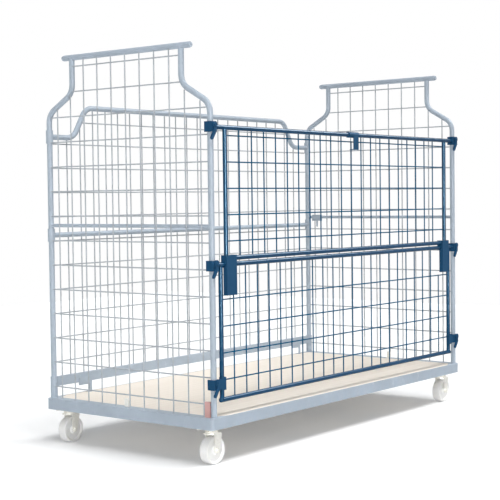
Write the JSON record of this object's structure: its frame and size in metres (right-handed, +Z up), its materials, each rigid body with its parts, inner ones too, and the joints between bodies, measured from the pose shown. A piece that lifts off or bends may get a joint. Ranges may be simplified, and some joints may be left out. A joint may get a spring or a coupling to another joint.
{
  "type": "roll cage container",
  "caption": "Tall mesh roll cage on a wheeled steel base with a plywood deck, fixed tubular end and rear walls, and a split front wall whose upper half folds down.",
  "frame": {"origin": "on the floor under the middle of the base", "axes": "+X along the long side, -Y towards the split front wall, +Z up"},
  "size_m": [1.834, 0.876, 1.5455],
  "materials": {
    "pale_paint": "semi-gloss paint",
    "wire_coat": "semi-gloss paint over welded wire",
    "blue_paint": "gloss paint",
    "zinc": "zinc plated, satin",
    "white_nylon": "moulded nylon, satin",
    "plywood": "sealed plywood, matte",
    "red_plastic": "moulded plastic, faded"
  },
  "bodies": {
    "cage": {"end_rail_left": "pale_paint", "end_rail_right": "pale_paint", "side_rail_front": "pale_paint", "side_rail_rear": "pale_paint", "cross_member_left": "pale_paint", "cross_member_right": "pale_paint", "corner_gussets": "pale_paint", "caster_mounts": "pale_paint", "end_wall_frame_left": "pale_paint", "end_wall_frame_right": "pale_paint", "top_bar_caps": "pale_paint", "wall_latch": "pale_paint", "rear_wall_frame": "pale_paint", "rear_bottom_rail": "pale_paint", "rear_rail_feet": "pale_paint", "end_wall_mesh_left": "wire_coat", "end_wall_mesh_right": "wire_coat", "rear_wall_mesh": "wire_coat", "deck": "plywood", "caster_bolts": "zinc", "post_pegs": "zinc", "rail_tabs": "zinc", "wall_pin": "red_plastic", "caster_plate_fl": "zinc", "caster_plate_fr": "zinc", "caster_plate_rl": "zinc", "caster_plate_rr": "zinc"},
    "lower_panel": {"lower_bar_plugs": "blue_paint", "lower_panel_frame": "blue_paint", "lower_panel_mesh": "blue_paint", "clamp_mid_left": "blue_paint", "clamp_mid_right": "blue_paint", "clamp_low_left": "blue_paint", "clamp_low_right": "blue_paint"},
    "upper_panel": {"upper_panel_frame": "blue_paint", "upper_panel_mesh": "blue_paint", "hinge_channel_left": "blue_paint", "hinge_channel_right": "blue_paint", "clamp_top_left": "blue_paint", "clamp_top_right": "blue_paint"},
    "hook": {"panel_hook": "blue_paint"},
    "lever_top_left": {"lever_top_left": "blue_paint"},
    "lever_top_right": {"lever_top_right": "blue_paint"},
    "lever_mid_left": {"lever_mid_left": "blue_paint"},
    "lever_mid_right": {"lever_mid_right": "blue_paint"},
    "lever_low_left": {"lever_low_left": "blue_paint"},
    "lever_low_right": {"lever_low_right": "blue_paint"},
    "caster_fl": {"caster_fork_fl": "zinc", "caster_axle_fl": "zinc"},
    "wheel_fl": {"caster_wheel_fl": "white_nylon"},
    "caster_fr": {"caster_fork_fr": "zinc", "caster_axle_fr": "zinc"},
    "wheel_fr": {"caster_wheel_fr": "white_nylon"},
    "caster_rl": {"caster_fork_rl": "zinc", "caster_axle_rl": "zinc"},
    "wheel_rl": {"caster_wheel_rl": "white_nylon"},
    "caster_rr": {"caster_fork_rr": "zinc", "caster_axle_rr": "zinc"},
    "wheel_rr": {"caster_wheel_rr": "white_nylon"}
  },
  "joints": [
    {"name": "front_lift_off", "type": "slide", "parent": "cage", "child": "lower_panel", "axis": [0, -1, 0], "range_m": [0, 0.3]},
    {"name": "upper_panel_fold", "type": "hinge", "parent": "lower_panel", "child": "upper_panel", "pos_m": [0, -0.4185, 0.7345], "axis": [1, 0, 0], "range_deg": [0, 170]},
    {"name": "hook_turn", "type": "hinge", "parent": "upper_panel", "child": "hook", "pos_m": [0.037, -0.4185, 1.233], "axis": [-1, 0, 0], "range_deg": [0, 120]},
    {"name": "lever_turn_top_left", "type": "hinge", "parent": "upper_panel", "child": "lever_top_left", "pos_m": [-0.885, -0.433, 1.24], "axis": [0, 1, 0], "range_deg": [0, 90]},
    {"name": "lever_turn_top_right", "type": "hinge", "parent": "upper_panel", "child": "lever_top_right", "pos_m": [0.893, -0.433, 1.24], "axis": [0, 1, 0], "range_deg": [0, 90]},
    {"name": "lever_turn_mid_left", "type": "hinge", "parent": "lower_panel", "child": "lever_mid_left", "pos_m": [-0.885, -0.433, 0.7415], "axis": [0, 1, 0], "range_deg": [0, 90]},
    {"name": "lever_turn_mid_right", "type": "hinge", "parent": "lower_panel", "child": "lever_mid_right", "pos_m": [0.893, -0.433, 0.7415], "axis": [0, 1, 0], "range_deg": [0, 90]},
    {"name": "lever_turn_low_left", "type": "hinge", "parent": "lower_panel", "child": "lever_low_left", "pos_m": [-0.885, -0.433, 0.3105], "axis": [0, 1, 0], "range_deg": [0, 90]},
    {"name": "lever_turn_low_right", "type": "hinge", "parent": "lower_panel", "child": "lever_low_right", "pos_m": [0.893, -0.433, 0.3105], "axis": [0, 1, 0], "range_deg": [0, 90]},
    {"name": "caster_swivel_fl", "type": "hinge", "parent": "cage", "child": "caster_fl", "pos_m": [-0.85, -0.372, 0.1245], "axis": [0, 0, 1], "continuous": true},
    {"name": "wheel_spin_fl", "type": "hinge", "parent": "caster_fl", "child": "wheel_fl", "pos_m": [-0.846, -0.372, 0.052], "axis": [0, 1, 0], "continuous": true},
    {"name": "caster_swivel_fr", "type": "hinge", "parent": "cage", "child": "caster_fr", "pos_m": [0.85, -0.372, 0.1245], "axis": [0, 0, 1], "continuous": true},
    {"name": "wheel_spin_fr", "type": "hinge", "parent": "caster_fr", "child": "wheel_fr", "pos_m": [0.854, -0.372, 0.052], "axis": [0, 1, 0], "continuous": true},
    {"name": "caster_swivel_rl", "type": "hinge", "parent": "cage", "child": "caster_rl", "pos_m": [-0.85, 0.372, 0.1245], "axis": [0, 0, 1], "continuous": true},
    {"name": "wheel_spin_rl", "type": "hinge", "parent": "caster_rl", "child": "wheel_rl", "pos_m": [-0.846, 0.372, 0.052], "axis": [0, 1, 0], "continuous": true},
    {"name": "caster_swivel_rr", "type": "hinge", "parent": "cage", "child": "caster_rr", "pos_m": [0.85, 0.372, 0.1245], "axis": [0, 0, 1], "continuous": true},
    {"name": "wheel_spin_rr", "type": "hinge", "parent": "caster_rr", "child": "wheel_rr", "pos_m": [0.854, 0.372, 0.052], "axis": [0, 1, 0], "continuous": true}
  ]
}
